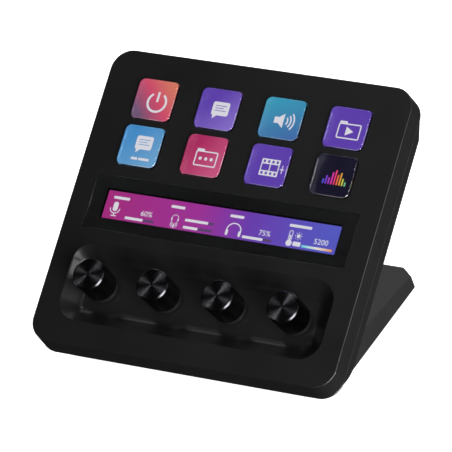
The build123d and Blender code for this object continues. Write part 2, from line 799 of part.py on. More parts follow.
def stand_bracket():
    """Bent steel plate: a wide leg in the foot, which is also the ballast, and an upper leg
    screwed to the slab's back."""
    rise = tan(radians(tilt))
    low = base_thickness
    high = low + bracket_thickness
    nose = foot_nose + bracket_nose_gap
    upper = slab_run * bracket_rise
    outer = slab_out * -bracket_thickness
    inner_bend = (high - outer.Z) / slab_run.Z
    bend = outer + slab_run * inner_bend
    points = [(nose, low), (nose, nose * rise), (upper.Y, upper.Z),
              (upper.Y + outer.Y, upper.Z + outer.Z), (bend.Y, bend.Z),
              (ballast_rear, high), (ballast_rear, low)]
    outline = Plane.YZ * make_face(Polyline(*points, close=True))
    bent = extrude(outline, amount=bracket_width / 2, both=True)
    inside_bend = bent.edges().filter_by(Axis.X).sort_by_distance((0, bend.Y, bend.Z))[0]
    bent = fillet(inside_bend, bend_radius)
    ballast_length = ballast_rear - ballast_front
    ballast = RectangleRounded(ballast_width, ballast_length, 3.0)
    bent += Pos(0, (ballast_rear + ballast_front) / 2, low) * extrude(ballast, bracket_thickness)
    for x, y in stand_screw_places():
        hole = disc(stand_screw_radius + 2 * screw_clearance, slab_thickness,
                    slab_thickness + bracket_thickness, x, y)
        bent -= to_desk * hole
    return bent


def stand_neck():
    """Cover over the bracket's upper leg; its lower end sits on the foot."""
    length = neck_rise - neck_start
    place = Pos(0, slab_bottom + (neck_start + neck_rise) / 2, -slab_thickness)
    body = extrude(RectangleRounded(neck_width, length, neck_corner),
                   amount=-neck_thickness, taper=neck_draft)
    body = fillet(back_edges(body), neck_edge)
    room = extrude(RectangleRounded(neck_width - 2 * neck_wall, length - 2 * neck_wall,
                                    neck_corner - neck_wall),
                   amount=-(neck_thickness - neck_wall), taper=neck_draft)
    neck = to_desk * (place * (body - room))
    return neck - foot_side_view(0, foot_nose)


def foot_pads():
    outline = RectangleRounded(pad_length, pad_width, pad_width / 2 - 0.5)
    one = chamfer(back_edges(extrude(outline, amount=-pad_thickness)), pad_bevel)
    places = [(side * x, y) for side in (-1, 1) for x, y in (front_pad_place, rear_pad_place)]
    return Compound(children=[Pos(x, y, 0) * one for x, y in places])


# ---------------------------------------------------------------- the whole keypad
def build():
    """Every piece by name, in one frame: on the desk, with the origin under its middle."""
    slab = {
        "front_bezel": front_bezel(),
        "rear_cover": rear_cover(),
        "touch_glass": touch_glass(),
        "key_mat": key_mat(),
        "display_cell": display_cell(),
        "light_guide": light_guide(),
        "display_tray": display_tray(),
        "mid_frame": mid_frame(),
        "main_board": main_board(),
        "board_parts": board_parts(),
        "usb_socket": usb_socket(),
        "display_flex": display_flex(),
        "dial_flex": dial_flex(),
        "dial_board": dial_board(),
        "push_domes": push_domes(),
        "encoder_nuts": encoder_nuts(),
        "case_screws": case_screws(),
        "frame_screws": frame_screws(),
        "stand_screws": stand_screws(),
    }
    for number, (x, y) in enumerate(key_places(), 1):
        slab[f"key_cap_{number}"] = key_cap(x, y)
    for number, (x, y) in enumerate(dial_places(), 1):
        slab[f"encoder_case_{number}"] = encoder_case(x, y)
        slab[f"encoder_bush_{number}"] = encoder_bush(x, y)
        slab[f"push_slider_{number}"] = push_slider(x, y)
        slab[f"dial_shaft_{number}"] = dial_shaft(x, y)
        slab[f"dial_core_{number}"] = dial_core(x, y)
        slab[f"dial_cap_{number}"] = dial_cap(x, y)
    pieces = {name: to_desk * piece for name, piece in slab.items()}
    pieces["stand_foot"] = stand_foot()
    pieces["stand_base"] = stand_base()
    pieces["stand_bracket"] = stand_bracket()
    pieces["stand_neck"] = stand_neck()
    pieces["foot_pads"] = foot_pads()
    pieces["base_screws"] = base_screws()
    front = pieces["front_bezel"].bounding_box().min.Y
    rear = pieces["stand_foot"].bounding_box().max.Y
    middle_y = (front + rear) / 2
    home = Pos(0, -middle_y, pad_thickness)
    return home, {name: home * piece for name, piece in pieces.items()}


home, pieces = build()
os.makedirs("parts", exist_ok=True)
for name, piece in pieces.items():
    export_step(piece, f"parts/{name}.step")
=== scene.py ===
import json
from math import atan2, cos, hypot, pi, radians, sin

import bmesh
import bpy
from bpy.props import FloatProperty, FloatVectorProperty, IntProperty, PointerProperty
from mathutils import Matrix, Vector


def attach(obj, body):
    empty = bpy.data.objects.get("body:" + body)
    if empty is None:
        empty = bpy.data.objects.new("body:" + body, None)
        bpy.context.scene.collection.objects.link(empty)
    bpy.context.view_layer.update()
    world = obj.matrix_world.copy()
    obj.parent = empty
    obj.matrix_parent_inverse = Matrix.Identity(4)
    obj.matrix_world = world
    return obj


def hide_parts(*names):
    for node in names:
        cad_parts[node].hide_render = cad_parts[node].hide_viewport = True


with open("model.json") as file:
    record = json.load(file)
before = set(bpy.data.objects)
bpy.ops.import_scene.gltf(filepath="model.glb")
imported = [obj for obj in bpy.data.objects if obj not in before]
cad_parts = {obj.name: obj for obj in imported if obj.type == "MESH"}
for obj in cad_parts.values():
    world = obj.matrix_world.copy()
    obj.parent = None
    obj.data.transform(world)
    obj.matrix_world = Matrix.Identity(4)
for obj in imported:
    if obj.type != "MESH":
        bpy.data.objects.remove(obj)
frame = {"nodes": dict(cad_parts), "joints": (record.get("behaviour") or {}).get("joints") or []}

bl_info = {
    "name": "Macro Keypad Looks",
    "version": (1, 0, 0),
    "blender": (4, 5, 0),
    "location": "3D View > Sidebar > Keypad",
    "description": "Finishes, keys, pictures, touch strip, dials and stage of a macro keypad",
    "category": "Object",
}

# The keypad's face has its own frame, in millimetres: origin at its centre, X right, Y up the
# face, Z out of it. The frame's own nodes and every finished piece are in metres.
MM = 0.001
KEY_COUNT = sum(name.startswith("key_cap_") for name in frame["nodes"])
DIAL_COUNT = sum(name.startswith("dial_cap_") for name in frame["nodes"])

# Lengths in face millimetres.
LAYER = 0.02           # thickness of a lit layer; the dish wall's gap at its rim, dip at its foot
MERGED = 1e-4          # points nearer to each other become one
PIXEL = 0.135          # pitch of the display's pixels
LIT_SHIFT = 0.25       # how far the lit strip lies left of the face's middle
GLASS_CORNER = 0.5     # corner radius of the touch glass
GLASS_BEVEL = 0.12     # bevel of the touch glass
PRINT_GAP = 0.01       # from the glass's edge to its print
WINDOW_SIDE = 0.6      # the print's window beyond the strip's ends
WINDOW_TOP = 0.5       # the print's window above and below the strip
FIGURE_HEIGHT = 2.4    # height of the strip's figures
FIGURE_WEIGHT = 0.015  # how much thicker than the font they are
DIAL_STEP = 0.12       # plain ring round a dial's turning marks, chamfer of its foot
MARKS_START = 0.3      # from a dial's axis to its first turning mark

# Shares and other plain numbers.
FIGURE_SHARE = 0.73    # height of a figure against its font's size
SLOPE_SHARE = 0.5      # part of the dish wall's width that slopes evenly
WALL_STEPS = 16        # strips of the dish wall
TOP_RINGS = (0.97, 0.9, 0.8, 0.68, 0.54, 0.38, 0.2, 0.08)   # rings of a key's top, by width
ACRYLIC_INDEX = 1.49   # refractive indices
GLASS_INDEX = 1.5
BLACK = (0.0, 0.0, 0.0)
WHITE = (1.0, 1.0, 1.0)


# ---- places
def corners(points):
    """Lowest and highest corner of a set of points."""
    ways = list(zip(*points))
    return Vector([min(way) for way in ways]), Vector([max(way) for way in ways])


def face_place():
    """The matrix from face millimetres to the frame's metres."""
    joint = next(joint for joint in frame["joints"] if joint["name"] == "dial_1_turn")
    out = Vector(joint["axis"])
    across = Vector((1, 0, 0))
    turn = Matrix((across, out.cross(across), out)).transposed()
    bezel = frame["nodes"]["front_bezel"].data.vertices
    low, high = corners([turn.transposed() @ vertex.co for vertex in bezel])
    centre = Vector(((low.x + high.x) / 2, (low.y + high.y) / 2, high.z))
    return Matrix.Translation(turn @ centre) @ turn.to_4x4() @ Matrix.Scale(MM, 4)


FACE = face_place()


def span(node):
    """Lowest and highest corner of a node in face millimetres."""
    to_face = FACE.inverted()
    return corners([to_face @ vertex.co for vertex in frame["nodes"][node].data.vertices])


def middle(node):
    """The middle of a node, seen straight onto the face, in face millimetres."""
    low, high = span(node)
    return (low.x + high.x) / 2, (low.y + high.y) / 2


def screen_depth():
    """How deep the display lies behind the face, in millimetres."""
    return -span("display_cell")[1].z


def millimetres(settings, *names):
    """The named lengths of a group of settings."""
    return [getattr(settings, name) / MM for name in names]


def paint(red, green, blue):
    """A screen colour, 0 to 255 a channel, as the linear light that a colour holds."""
    shares = [channel / 255 for channel in (red, green, blue)]
    return tuple(s / 12.92 if s <= 0.04045 else ((s + 0.055) / 1.055) ** 2.4 for s in shares)


# ---- sizes and colours to change
def length(name, description, millimetres):
    return FloatProperty(name=name, description=description, default=millimetres * MM,
                         min=0.0, precision=5, unit="LENGTH")


def share(name, description, value, most=1.0):
    return FloatProperty(name=name, description=description, default=value, min=0.0, max=most,
                         subtype="FACTOR")


def colour(name, description, red, green, blue):
    return FloatVectorProperty(name=name, description=description, subtype="COLOR", size=3,
                               min=0.0, max=1.0, default=paint(red, green, blue))


def angle(name, description, degrees):
    return FloatProperty(name=name, description=description, default=radians(degrees),
                         subtype="ANGLE", unit="ROTATION")


class KeypadCaseSettings(bpy.types.PropertyGroup):
    """The moulded case and stand"""
    case_colour: colour("Case colour", "Colour of the slab's plastic", 21, 21, 22)
    stand_colour: colour("Stand colour", "Colour of the stand's plastic", 29, 29, 30)
    roughness: share("Case roughness", "How matt the slab's plastic is", 0.3)
    stand_roughness: share("Stand roughness", "How matt the stand's plastic is", 0.62)
    grain: length("Grain size", "Size of the moulded grain", 0.28)
    grain_depth: length("Grain depth", "Depth of the moulded grain", 0.006)


class KeypadDishSettings(bpy.types.PropertyGroup):
    """The soft dish round the dials"""
    side_margin: length("Side margin", "Dish to the slab's side", 10)
    height: length("Dish height", "Height of the dish's outline", 34)
    corner: length("Dish corner", "Corner radius of the dish's outline", 9)
    depth: length("Dish depth", "Depth of the dish's floor", 5.6)
    rim: length("Rim", "Depth at which the soft wall starts", 0.35)
    reach: length("Soft reach", "Width of the soft wall between rim and floor", 8)


class KeypadKeySettings(bpy.types.PropertyGroup):
    """The clear key caps"""
    edge_round: length("Edge rounding", "Rounding of a key's top edge", 0.8)
    corner: length("Corner radius", "Radius of a key's corners", 2.6)
    dishing: length("Dishing", "How far a key's top sinks in its middle", 0.15)
    flange: length("Flange width", "Rim that holds a key in", 1.25)
    flange_thickness: length("Flange thickness", "Thickness of that rim", 0.4)
    tint: colour("Tint", "Colour of the clear plastic", 250, 251, 252)


class KeypadPictureSettings(bpy.types.PropertyGroup):
    """The lit pictures behind the keys and the strip"""
    brightness: share("Brightness", "Light of the pictures", 1, 10)
    reach: length("Reach", "Picture beyond the key's sides, within the mat's window", 0.8)
    mark_colour: colour("Marks", "Colour of the symbols", 226, 224, 232)
    rose: colour("Rose", "Middle of the power key", 217, 78, 112)
    coral: colour("Coral", "Upper right of the power key", 224, 126, 104)
    dusk: colour("Dusk", "Lower left of the power key", 116, 88, 122)
    violet: colour("Violet", "Plain violet keys", 98, 66, 178)
    lilac: colour("Lilac", "Light end of the note key", 138, 112, 206)
    teal: colour("Teal", "Top of the sound key", 62, 160, 192)
    slate: colour("Slate", "Bottom of the sound key", 70, 108, 174)
    sky: colour("Sky", "Dark end of the message key", 66, 144, 206)
    haze: colour("Haze", "Light end of the message key", 116, 172, 216)
    crimson: colour("Crimson", "Dark end of the folder key", 178, 42, 98)
    pink: colour("Pink", "Light end of the folder key", 208, 88, 132)
    night: colour("Night", "Ground of the level key", 17, 15, 38)


class KeypadStripSettings(bpy.types.PropertyGroup):
    """The touch glass and the lit strip behind it"""
    lit_height: length("Lit height", "Height of the lit strip", 12.4)
    print_depth: length("Print thickness", "Thickness of the black print under the glass", 0.02)
    window_corner: length("Window corner", "Corner radius of the window in the print", 0.4)
    glass_tint: colour("Glass tint", "Colour of the touch glass", 250, 252, 252)
    left_colour: colour("Left", "Left end of the strip", 172, 46, 130)
    left_middle_colour: colour("Left middle", "Strip at two fifths of its length", 166, 52, 156)
    middle_colour: colour("Middle", "Strip just right of its middle", 112, 64, 182)
    right_colour: colour("Right", "Right end of the strip", 90, 92, 202)
    dark_mark: colour("Dark marks", "Empty part of the level bars", 92, 70, 110)


class KeypadDialSettings(bpy.types.PropertyGroup):
    """The dials"""
    ribs: IntProperty(name="Ribs", description="Ribs round a dial", default=72, min=12, max=120)
    rib_depth: length("Rib depth", "Depth of the grooves between ribs", 0.22)
    band: length("Band", "Plain band round a dial's top", 0.7)
    bevel: length("Bevel", "Bright bevel of a dial's top edge", 0.55)
    bore: length("Bore", "Radius of a cap's inside", 5.9)
    top_thickness: length("Top thickness", "Thickness of a cap's top", 1.5)
    turning_pitch: length("Turning pitch", "Distance between turning marks on the top", 0.25)
    turning_depth: length("Turning depth", "Depth of the turning marks", 0.028)
    cap_colour: colour("Cap colour", "Colour of the anodised caps", 58, 58, 61)
    core_colour: colour("Core colour", "Colour of the plain ring at a dial's foot", 20, 20, 21)


class KeypadStageSettings(bpy.types.PropertyGroup):
    """Floor, lights and camera"""
    azimuth: angle("Azimuth", "Camera's way round the keypad", 27.923)
    elevation: angle("Elevation", "Camera's height over the desk", 22.815)
    roll: angle("Roll", "Camera's turn about its own line of sight", -2.485)
    distance: FloatProperty(name="Distance", description="Camera to the face", default=1.73744,
                            min=0.1, unit="LENGTH")
    lens: FloatProperty(name="Lens", description="Focal length in millimetres", default=335.79,
                        min=1)
    aim_right: length("Aim right", "Aimed point right of the face's centre", 3.904)
    aim_down: length("Aim down", "Aimed point below the face's centre", 3.948)
    floor_colour: colour("Floor", "Colour of the floor", 244, 244, 245)
    floor_light: share("Floor light", "Light that the floor adds by itself", 0.97)
    air_light: share("Air light", "Light from all round the keypad", 0.02)


# ---- finishes
class Signal:
    """A value in a node tree. Arithmetic on it adds the Math node that works it out."""

    def __init__(self, sheet, socket):
        self.sheet = sheet
        self.socket = socket

    def math(self, operation, first, second):
        return self.sheet.node("Math", {0: first, 1: second}, operation=operation)

    def __add__(self, other):
        return self.math("ADD", self, other)

    def __rsub__(self, other):
        return self.math("SUBTRACT", other, self)

    def __mul__(self, other):
        return self.math("MULTIPLY", self, other)

    def __lt__(self, other):
        return self.math("LESS_THAN", self, other)

    def size(self):
        return self.math("ABSOLUTE", self, 0)

    def power(self, exponent):
        return self.math("POWER", self, exponent)

    def wave(self, wavelength):
        return self.math("SINE", self * (2 * pi / wavelength), 0)


class Sheet:
    """A node tree that is filled in from Python."""

    def __init__(self, tree):
        self.tree = tree
        tree.nodes.clear()

    def node(self, kind, sockets, output=0, **settings):
        """Adds a node with its settings and its sockets' values or links."""
        node = self.tree.nodes.new("ShaderNode" + kind)
        for name, value in settings.items():
            setattr(node, name, value)
        for key, value in sockets.items():
            socket = self.socket(node.inputs, key)
            if isinstance(value, Signal):
                self.tree.links.new(value.socket, socket)
            else:
                socket.default_value = value
        return None if output is None else Signal(self, self.socket(node.outputs, output))

    @staticmethod
    def socket(sockets, key):
        if isinstance(key, int):
            return sockets[key]
        return next(socket for socket in sockets if socket.enabled and socket.name == key)


class Finish(Sheet):
    """A material in the making."""

    def __init__(self, name):
        self.material = bpy.data.materials.new(name)
        self.material.use_nodes = True
        super().__init__(self.material.node_tree)
        self.place = self.node("TexCoord", {}, "Object")

    def noise(self, size, detail=2, roughness=0.5, place=None):
        """Cloudy noise with features of a size in millimetres, from 0 to 1."""
        return self.node("TexNoise", {"Vector": place or self.place, "Scale": 1 / (size * MM),
                                      "Detail": detail, "Roughness": roughness}, "Fac")

    def cells(self, size):
        """Rounded cells of a size in millimetres: 0 in their middles."""
        return self.node("TexVoronoi", {"Vector": self.place, "Scale": 1 / (size * MM)},
                         "Distance")

    def mix(self, factor, first, second):
        colours = {"Factor": factor, "A": opaque(first), "B": opaque(second)}
        return self.node("Mix", colours, "Result", data_type="RGBA")

    def ramp(self, factor, stops):
        """Colours that run through stops of a position and a colour each."""
        tone = self.node("ValToRGB", {"Fac": factor}, "Color")
        elements = tone.socket.node.color_ramp.elements
        while len(elements) < len(stops):
            elements.new(1)
        for element, (position, stop) in zip(elements, stops):
            element.position = position
            element.color = opaque(stop)
        return tone

    def bump(self, height, depth):
        """Bumps from a height of 0 to 1 and their depth in millimetres."""
        return self.node("Bump", {"Height": height, "Distance": depth * MM}, "Normal")

    def on_face(self, x=0, y=0):
        """X and Y in face millimetres, counted from a point of the face."""
        place = {"Vector": self.place, "Location": FACE @ Vector((x, y, 0)),
                 "Rotation": FACE.to_euler(), "Scale": (MM, MM, MM)}
        flat = self.node("Mapping", place, "Vector", vector_type="TEXTURE")
        across = self.node("SeparateXYZ", {"Vector": flat}, "X")
        return across, Signal(self, across.socket.node.outputs["Y"])

    def surface(self, sockets):
        shader = self.node("BsdfPrincipled", sockets, "BSDF")
        self.node("OutputMaterial", {"Surface": shader}, None)
        return self.material

    def glow(self, tone, light):
        """A black surface that gives light of a colour."""
        return self.surface({"Base Color": opaque(BLACK), "Roughness": 0.3,
                             "Emission Color": tone, "Emission Strength": light})


def opaque(tone):
    return tone if isinstance(tone, Signal) else (*tone[:3], 1)


def scaled(tone, factor):
    return tuple(channel * factor for channel in tone)


def moulded_plastic(name, tone, roughness, grain, depth, level=0.5):
    """Matt black plastic from a textured mould: fine grain, and slow drifts of tone and gloss."""
    finish = Finish(name)
    drift = finish.noise(22, detail=3)
    grains = finish.noise(grain, detail=3, roughness=0.65)
    pits = finish.cells(grain * 1.7)
    height = grains * 0.7 + pits * 0.3
    return finish.surface({
        "Base Color": finish.mix(drift, scaled(tone, 0.85), scaled(tone, 1.15)),
        "Roughness": drift * 0.08 + grains * 0.08 + (roughness - 0.08),
        "Specular IOR Level": level,
        "Normal": finish.bump(height, depth),
    })


def metal(name, tone, roughness, streak):
    """Rolled or turned metal with fine streaks."""
    finish = Finish(name)
    stretched = finish.node("Mapping", {"Vector": finish.place, "Scale": (0.06, 1, 1)}, "Vector")
    streaks = finish.noise(streak, detail=4, roughness=0.6, place=stretched)
    clouds = finish.noise(9)
    return finish.surface({
        "Base Color": finish.mix(clouds, scaled(tone, 0.88), tone),
        "Metallic": 1,
        "Roughness": streaks * 0.16 + clouds * 0.06 + (roughness - 0.1),
        "Normal": finish.bump(streaks, 0.002),
    })


def clear_plastic(name, tone, index):
    """Clear acrylic or glass: faint smears change its gloss a little."""
    finish = Finish(name)
    smear = finish.noise(6, detail=4, roughness=0.6)
    return finish.surface({
        "Base Color": opaque(tone),
        "Roughness": smear * 0.03,
        "IOR": index,
        "Transmission Weight": 1,
    })


def soft_rubber(name, tone, roughness):
    finish = Finish(name)
    dust = finish.noise(1.4, detail=5, roughness=0.7)
    skin = finish.cells(0.35)
    return finish.surface({
        "Base Color": finish.mix(dust.power(3), tone, scaled(tone, 2.2)),
        "Roughness": dust * 0.15 + (roughness - 0.05),
        "Specular IOR Level": 0.3,
        "Normal": finish.bump(skin, 0.01),
    })


def circuit_board(name):
    """Green solder mask over copper tracks, with a fine weave beneath."""
    finish = Finish(name)
    bricks = {"Vector": finish.place, "Scale": 1 / (1.6 * MM), "Mortar Size": 0.12,
              "Brick Width": 2.2, "Row Height": 0.6}
    tracks = finish.node("TexBrick", bricks, "Fac", offset=0.35, squash=0.7)
    weave = finish.cells(0.6)
    return finish.surface({
        "Base Color": finish.mix(tracks, paint(12, 66, 34), paint(34, 104, 52)),
        "Roughness": weave * 0.1 + 0.25,
        "Coat Weight": tracks * 0.3 + 0.2,
        "Normal": finish.bump(tracks, 0.03),
    })


def chip_resin(name):
    finish = Finish(name)
    grains = finish.noise(0.12, detail=3)
    return finish.surface({
        "Base Color": finish.mix(grains, paint(24, 24, 25), paint(38, 38, 40)),
        "Roughness": grains * 0.12 + 0.5,
        "Normal": finish.bump(grains, 0.004),
    })


def amber_film(name):
    """Ribbon cable: copper lines that show through amber film."""
    finish = Finish(name)
    lines = finish.on_face()[0].wave(0.8) * 0.5 + 0.5
    return finish.surface({
        "Base Color": finish.mix(lines, paint(150, 92, 30), paint(196, 130, 56)),
        "Roughness": lines * 0.1 + 0.25,
        "Coat Weight": 0.5,
        "Normal": finish.bump(lines, 0.01),
    })


def dark_screen(name):
    """The display where it is not lit: black glass over a fine grid."""
    finish = Finish(name)
    x, y = finish.on_face()
    grid = x.wave(0.27) * y.wave(0.27) * 0.5 + 0.5
    return finish.surface({
        "Base Color": finish.mix(grid, paint(6, 6, 8), paint(13, 13, 16)),
        "Roughness": grid * 0.05 + 0.12,
    })


def diffuser(name):
    """Milky light guide with its printed dots."""
    finish = Finish(name)
    dots = finish.cells(1.1)
    return finish.surface({
        "Base Color": finish.mix(dots, paint(236, 240, 244), paint(210, 216, 222)),
        "Roughness": dots * 0.2 + 0.3,
        "Subsurface Weight": 0.3,
        "Normal": finish.bump(dots, 0.02),
    })


def socket_metal(node):
    """Bright shell of the USB socket round its black tongue."""
    finish = Finish(node)
    x, y = finish.on_face(*middle(node))
    tongue = (x.size() < 3.4) * (y.size() < 0.42)
    brushed = finish.noise(0.4, detail=4)
    return finish.surface({
        "Base Color": finish.mix(tongue, paint(200, 200, 204), paint(22, 22, 24)),
        "Metallic": 1 - tongue,
        "Roughness": brushed * 0.12 + tongue * 0.3 + 0.2,
        "Normal": finish.bump(brushed, 0.002),
    })


def anodised(name, tone):
    """Black anodised aluminium, turned bright: thin cuts through a dark skin."""
    finish = Finish(name)
    specks = finish.noise(0.09, detail=2)
    drift = finish.noise(3.5)
    return finish.surface({
        "Base Color": finish.mix(drift, scaled(tone, 0.9), tone),
        "Metallic": 1,
        "Roughness": specks * 0.08 + drift * 0.04 + 0.16,
    })


def black_print(name):
    """Black ink under the touch glass."""
    finish = Finish(name)
    ink = finish.noise(0.2, detail=3)
    return finish.surface({
        "Base Color": finish.mix(ink, paint(7, 7, 9), paint(11, 11, 13)),
        "Roughness": ink * 0.1 + 0.35,
    })


def lit_ground(name, stops, place, run, light):
    """A lit stretch of the display: a smooth run of colours over the display's fine pixels.

    run is the way the colours go, in face millimetres: along it, stops go from 0 to 1."""
    finish = Finish(name)
    x, y = finish.on_face(*place)
    way = Vector(run)
    along = x * (way.x / way.length_squared) + y * (way.y / way.length_squared) + 0.5
    pixels = y.wave(PIXEL) * 0.03 + x.wave(PIXEL) * 0.03
    return finish.glow(finish.mix(pixels + 0.06, finish.ramp(along, stops), BLACK), light)


def lit_marks(name, tone, light):
    """Lit symbols: one colour over the display's fine pixels."""
    finish = Finish(name)
    rows = finish.on_face()[1].wave(PIXEL) * 0.02 + 0.02
    return finish.glow(finish.mix(rows, tone, BLACK), light)


def finish_of(node):
    """The finish that the frame's own node has been given."""
    return frame["nodes"][node].material_slots[0].material


# ---- shaping
def add_object(name, data):
    """A new object in the scene."""
    thing = bpy.data.objects.new(name, data)
    bpy.context.scene.collection.objects.link(thing)
    return thing


def add_piece(shape, name, finish, body, spot, sharp=40, replaces=()):
    """Makes a bmesh, drawn in millimetres round a spot of the face, a piece that rides on a body.

    Edges that turn by more than sharp degrees stay sharp."""
    bmesh.ops.remove_doubles(shape, verts=shape.verts, dist=MERGED)
    bmesh.ops.recalc_face_normals(shape, faces=shape.faces)
    bmesh.ops.transform(shape, matrix=FACE @ Matrix.Translation(spot), verts=shape.verts)
    for face in shape.faces:
        face.smooth = True
    mesh = bpy.data.meshes.new(name)
    shape.to_mesh(mesh)
    shape.free()
    mesh.set_sharp_from_angle(angle=radians(sharp))
    mesh.materials.append(finish)
    piece = add_object(name, mesh)
    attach(piece, body)
    if replaces:
        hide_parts(*replaces)
    return piece


def even_shading(piece):
    """Keeps large flat faces flat beside their rounded edges."""
    weighted = piece.modifiers.new("even_shading", "WEIGHTED_NORMAL")
    weighted.keep_sharp = True


def rounded_face(shape, width, height, corner, z=0, segments=8):
    """A flat rounded rectangle as one face, which it returns."""
    points = bmesh.ops.create_grid(shape, x_segments=1, y_segments=1, size=0.5)["verts"]
    bmesh.ops.scale(shape, vec=(width, height, 1), verts=points)
    bmesh.ops.translate(shape, vec=(0, 0, z), verts=points)
    if corner > 0:
        bmesh.ops.bevel(shape, geom=points, offset=corner, segments=segments, profile=0.5,
                        affect="VERTICES", material=-1)
    return shape.faces[:][-1]


def top_face(shape):
    """The highest face, and the largest one of faces as high."""
    return max(shape.faces, key=lambda face: (face.calc_center_median().z, face.calc_area()))


def inset(shape, face, width):
    """Draws a face's outline inwards by a width."""
    bmesh.ops.inset_region(shape, faces=[face], thickness=width, use_even_offset=True,
                           use_boundary=True)


def round_edges(shape, face, radius, segments):
    """Rounds the edges of a face."""
    bmesh.ops.bevel(shape, geom=face.edges[:], offset=radius, segments=segments, profile=0.5,
                    affect="EDGES", material=-1, clamp_overlap=False)


def thicken(shape, thickness):
    """Turns flat faces into closed plates by drawing a copy of them up."""
    made = bmesh.ops.extrude_face_region(shape, geom=shape.faces[:], use_keep_orig=True)
    raised = [item for item in made["geom"] if isinstance(item, bmesh.types.BMVert)]
    bmesh.ops.translate(shape, vec=(0, 0, thickness), verts=raised)


def draw_up(shape, face, height):
    """Extrudes one face straight up and returns its new place."""
    face = bmesh.ops.extrude_discrete_faces(shape, faces=[face])["faces"][0]
    bmesh.ops.translate(shape, vec=(0, 0, height), verts=face.verts)
    return face


def chain(shape, points):
    """A run of edges through points of (radius, height), ready to spin."""
    radius, height = points[0]
    last = bmesh.ops.create_vert(shape, co=(radius, 0, height))["vert"][0]
    for radius, height in points[1:]:
        last = bmesh.ops.extrude_vert_indiv(shape, verts=[last])["verts"][0]
        last.co = (radius, 0, height)


def spin(shape, steps, sweep=360):
    """Spins a shape's edges round Z by sweep degrees. A full turn closes its seam."""
    bmesh.ops.spin(shape, geom=shape.verts[:] + shape.edges[:], cent=(0, 0, 0),
                   axis=(0, 0, 1), dvec=(0, 0, 0), angle=radians(sweep), steps=steps,
                   use_merge=sweep == 360)


class Stencil:
    """Flat marks of a lit picture, in millimetres, drawn together and then given thickness."""

    def __init__(self):
        self.shape = bmesh.new()

    def add(self, part, x, y, turn=0):
        """Moves a drawn part to its place and adds it to the others."""
        place = Matrix.Translation((x, y, 0)) @ Matrix.Rotation(radians(turn), 4, "Z")
        bmesh.ops.transform(part, matrix=place, verts=part.verts)
        sheet = bpy.data.meshes.new("part")
        part.to_mesh(sheet)
        part.free()
        self.shape.from_mesh(sheet)
        bpy.data.meshes.remove(sheet)

    def bar(self, x, y, width, height, corner=0, turn=0):
        part = bmesh.new()
        rounded_face(part, width, height, corner, segments=5)
        self.add(part, x, y, turn)

    def ring(self, x, y, width, height, corner, line):
        """A rounded outline."""
        part = bmesh.new()
        face = rounded_face(part, width, height, corner, segments=6)
        inset(part, face, line)
        bmesh.ops.delete(part, geom=[face], context="FACES_ONLY")
        self.add(part, x, y)

    def disc(self, x, y, radius, segments):
        part = bmesh.new()
        bmesh.ops.create_circle(part, cap_ends=True, segments=segments, radius=radius)
        self.add(part, x, y)

    def arc(self, x, y, inner, outer, start, sweep):
        """A stretch of a flat ring, from start on through sweep, in degrees."""
        part = bmesh.new()
        chain(part, [(inner, 0), (outer, 0)])
        spin(part, max(6, round(sweep / 8)), sweep)
        self.add(part, x, y, start)

    def blade(self, *points):
        """A flat shape with straight sides."""
        part = bmesh.new()
        made = [bmesh.ops.create_vert(part, co=(x, y, 0))["vert"][0] for x, y in points]
        bmesh.ops.contextual_create(part, geom=made)
        self.add(part, 0, 0)

    def number(self, words, x, y):
        """Plain figures, whose left foot is at x, y."""
        curve = bpy.data.curves.new("figures", "FONT")
        curve.body = words
        curve.size = FIGURE_HEIGHT / FIGURE_SHARE
        curve.offset = FIGURE_WEIGHT
        curve.resolution_u = 4
        text = add_object("figures", curve)
        bpy.context.view_layer.update()
        flat = bpy.data.meshes.new_from_object(text)
        part = bmesh.new()
        part.from_mesh(flat)
        bmesh.ops.remove_doubles(part, verts=part.verts, dist=MERGED)
        self.add(part, x, y)
        bpy.data.objects.remove(text)
        bpy.data.curves.remove(curve)
        bpy.data.meshes.remove(flat)

    def piece(self, name, finish, x, y, depth):
        """The marks as closed plates whose backs lie at a depth behind the face."""
        thicken(self.shape, LAYER)
        add_piece(self.shape, name, finish, "housing", (x, y, -depth))


def lit_plate(name, stops, run, light, spot, size, corner, depth):
    """A plain lit plate with a run of colours. It returns its finish."""
    finish = lit_ground(name, stops, spot, run, light)
    plate = Stencil()
    plate.bar(0, 0, *size, corner)
    plate.piece(name, finish, *spot, depth)
    return finish


# ---- dish
def fallen(way):
    """How much of its height a soft wall has lost: an even slope, then a curve to the floor."""
    mean = (1 + SLOPE_SHARE) / 2
    if way < SLOPE_SHARE:
        return way / mean
    return 1 - (1 - way) ** 2 / (2 * (1 - SLOPE_SHARE)) / mean


def soft_wall(shape, width, height, corner, start, depth, reach):
    """A hollow sloping wall inside a rounded outline, level at its foot."""
    face = rounded_face(shape, width, height, corner, -start, segments=16)
    for step in range(1, WALL_STEPS + 1):
        inset(shape, face, reach / WALL_STEPS)
        drop = fallen(step / WALL_STEPS) - fallen((step - 1) / WALL_STEPS)
        drop *= depth + LAYER - start
        bmesh.ops.translate(shape, vec=(0, 0, -drop), verts=face.verts)
    bmesh.ops.delete(shape, geom=[face], context="FACES_ONLY")
    thicken(shape, -start)


class KEYPAD_OT_dish(bpy.types.Operator):
    """Softens the wall of the dish round the dials"""
    bl_idname = "keypad.dish"
    bl_label = "Dish"

    def execute(self, context):
        side_margin, height, corner, depth, rim, reach = millimetres(
            context.scene.keypad_dish, "side_margin", "height", "corner", "depth", "rim", "reach")
        low, high = span("front_bezel")
        width = high.x - low.x - 2 * (side_margin + LAYER)
        shape = bmesh.new()
        soft_wall(shape, width, height - 2 * LAYER, corner - LAYER, rim, depth, reach)
        add_piece(shape, "dish_wall", finish_of("front_bezel"), "housing",
                  (0, middle("dial_cap_1")[1], 0), 60)
        return {"FINISHED"}


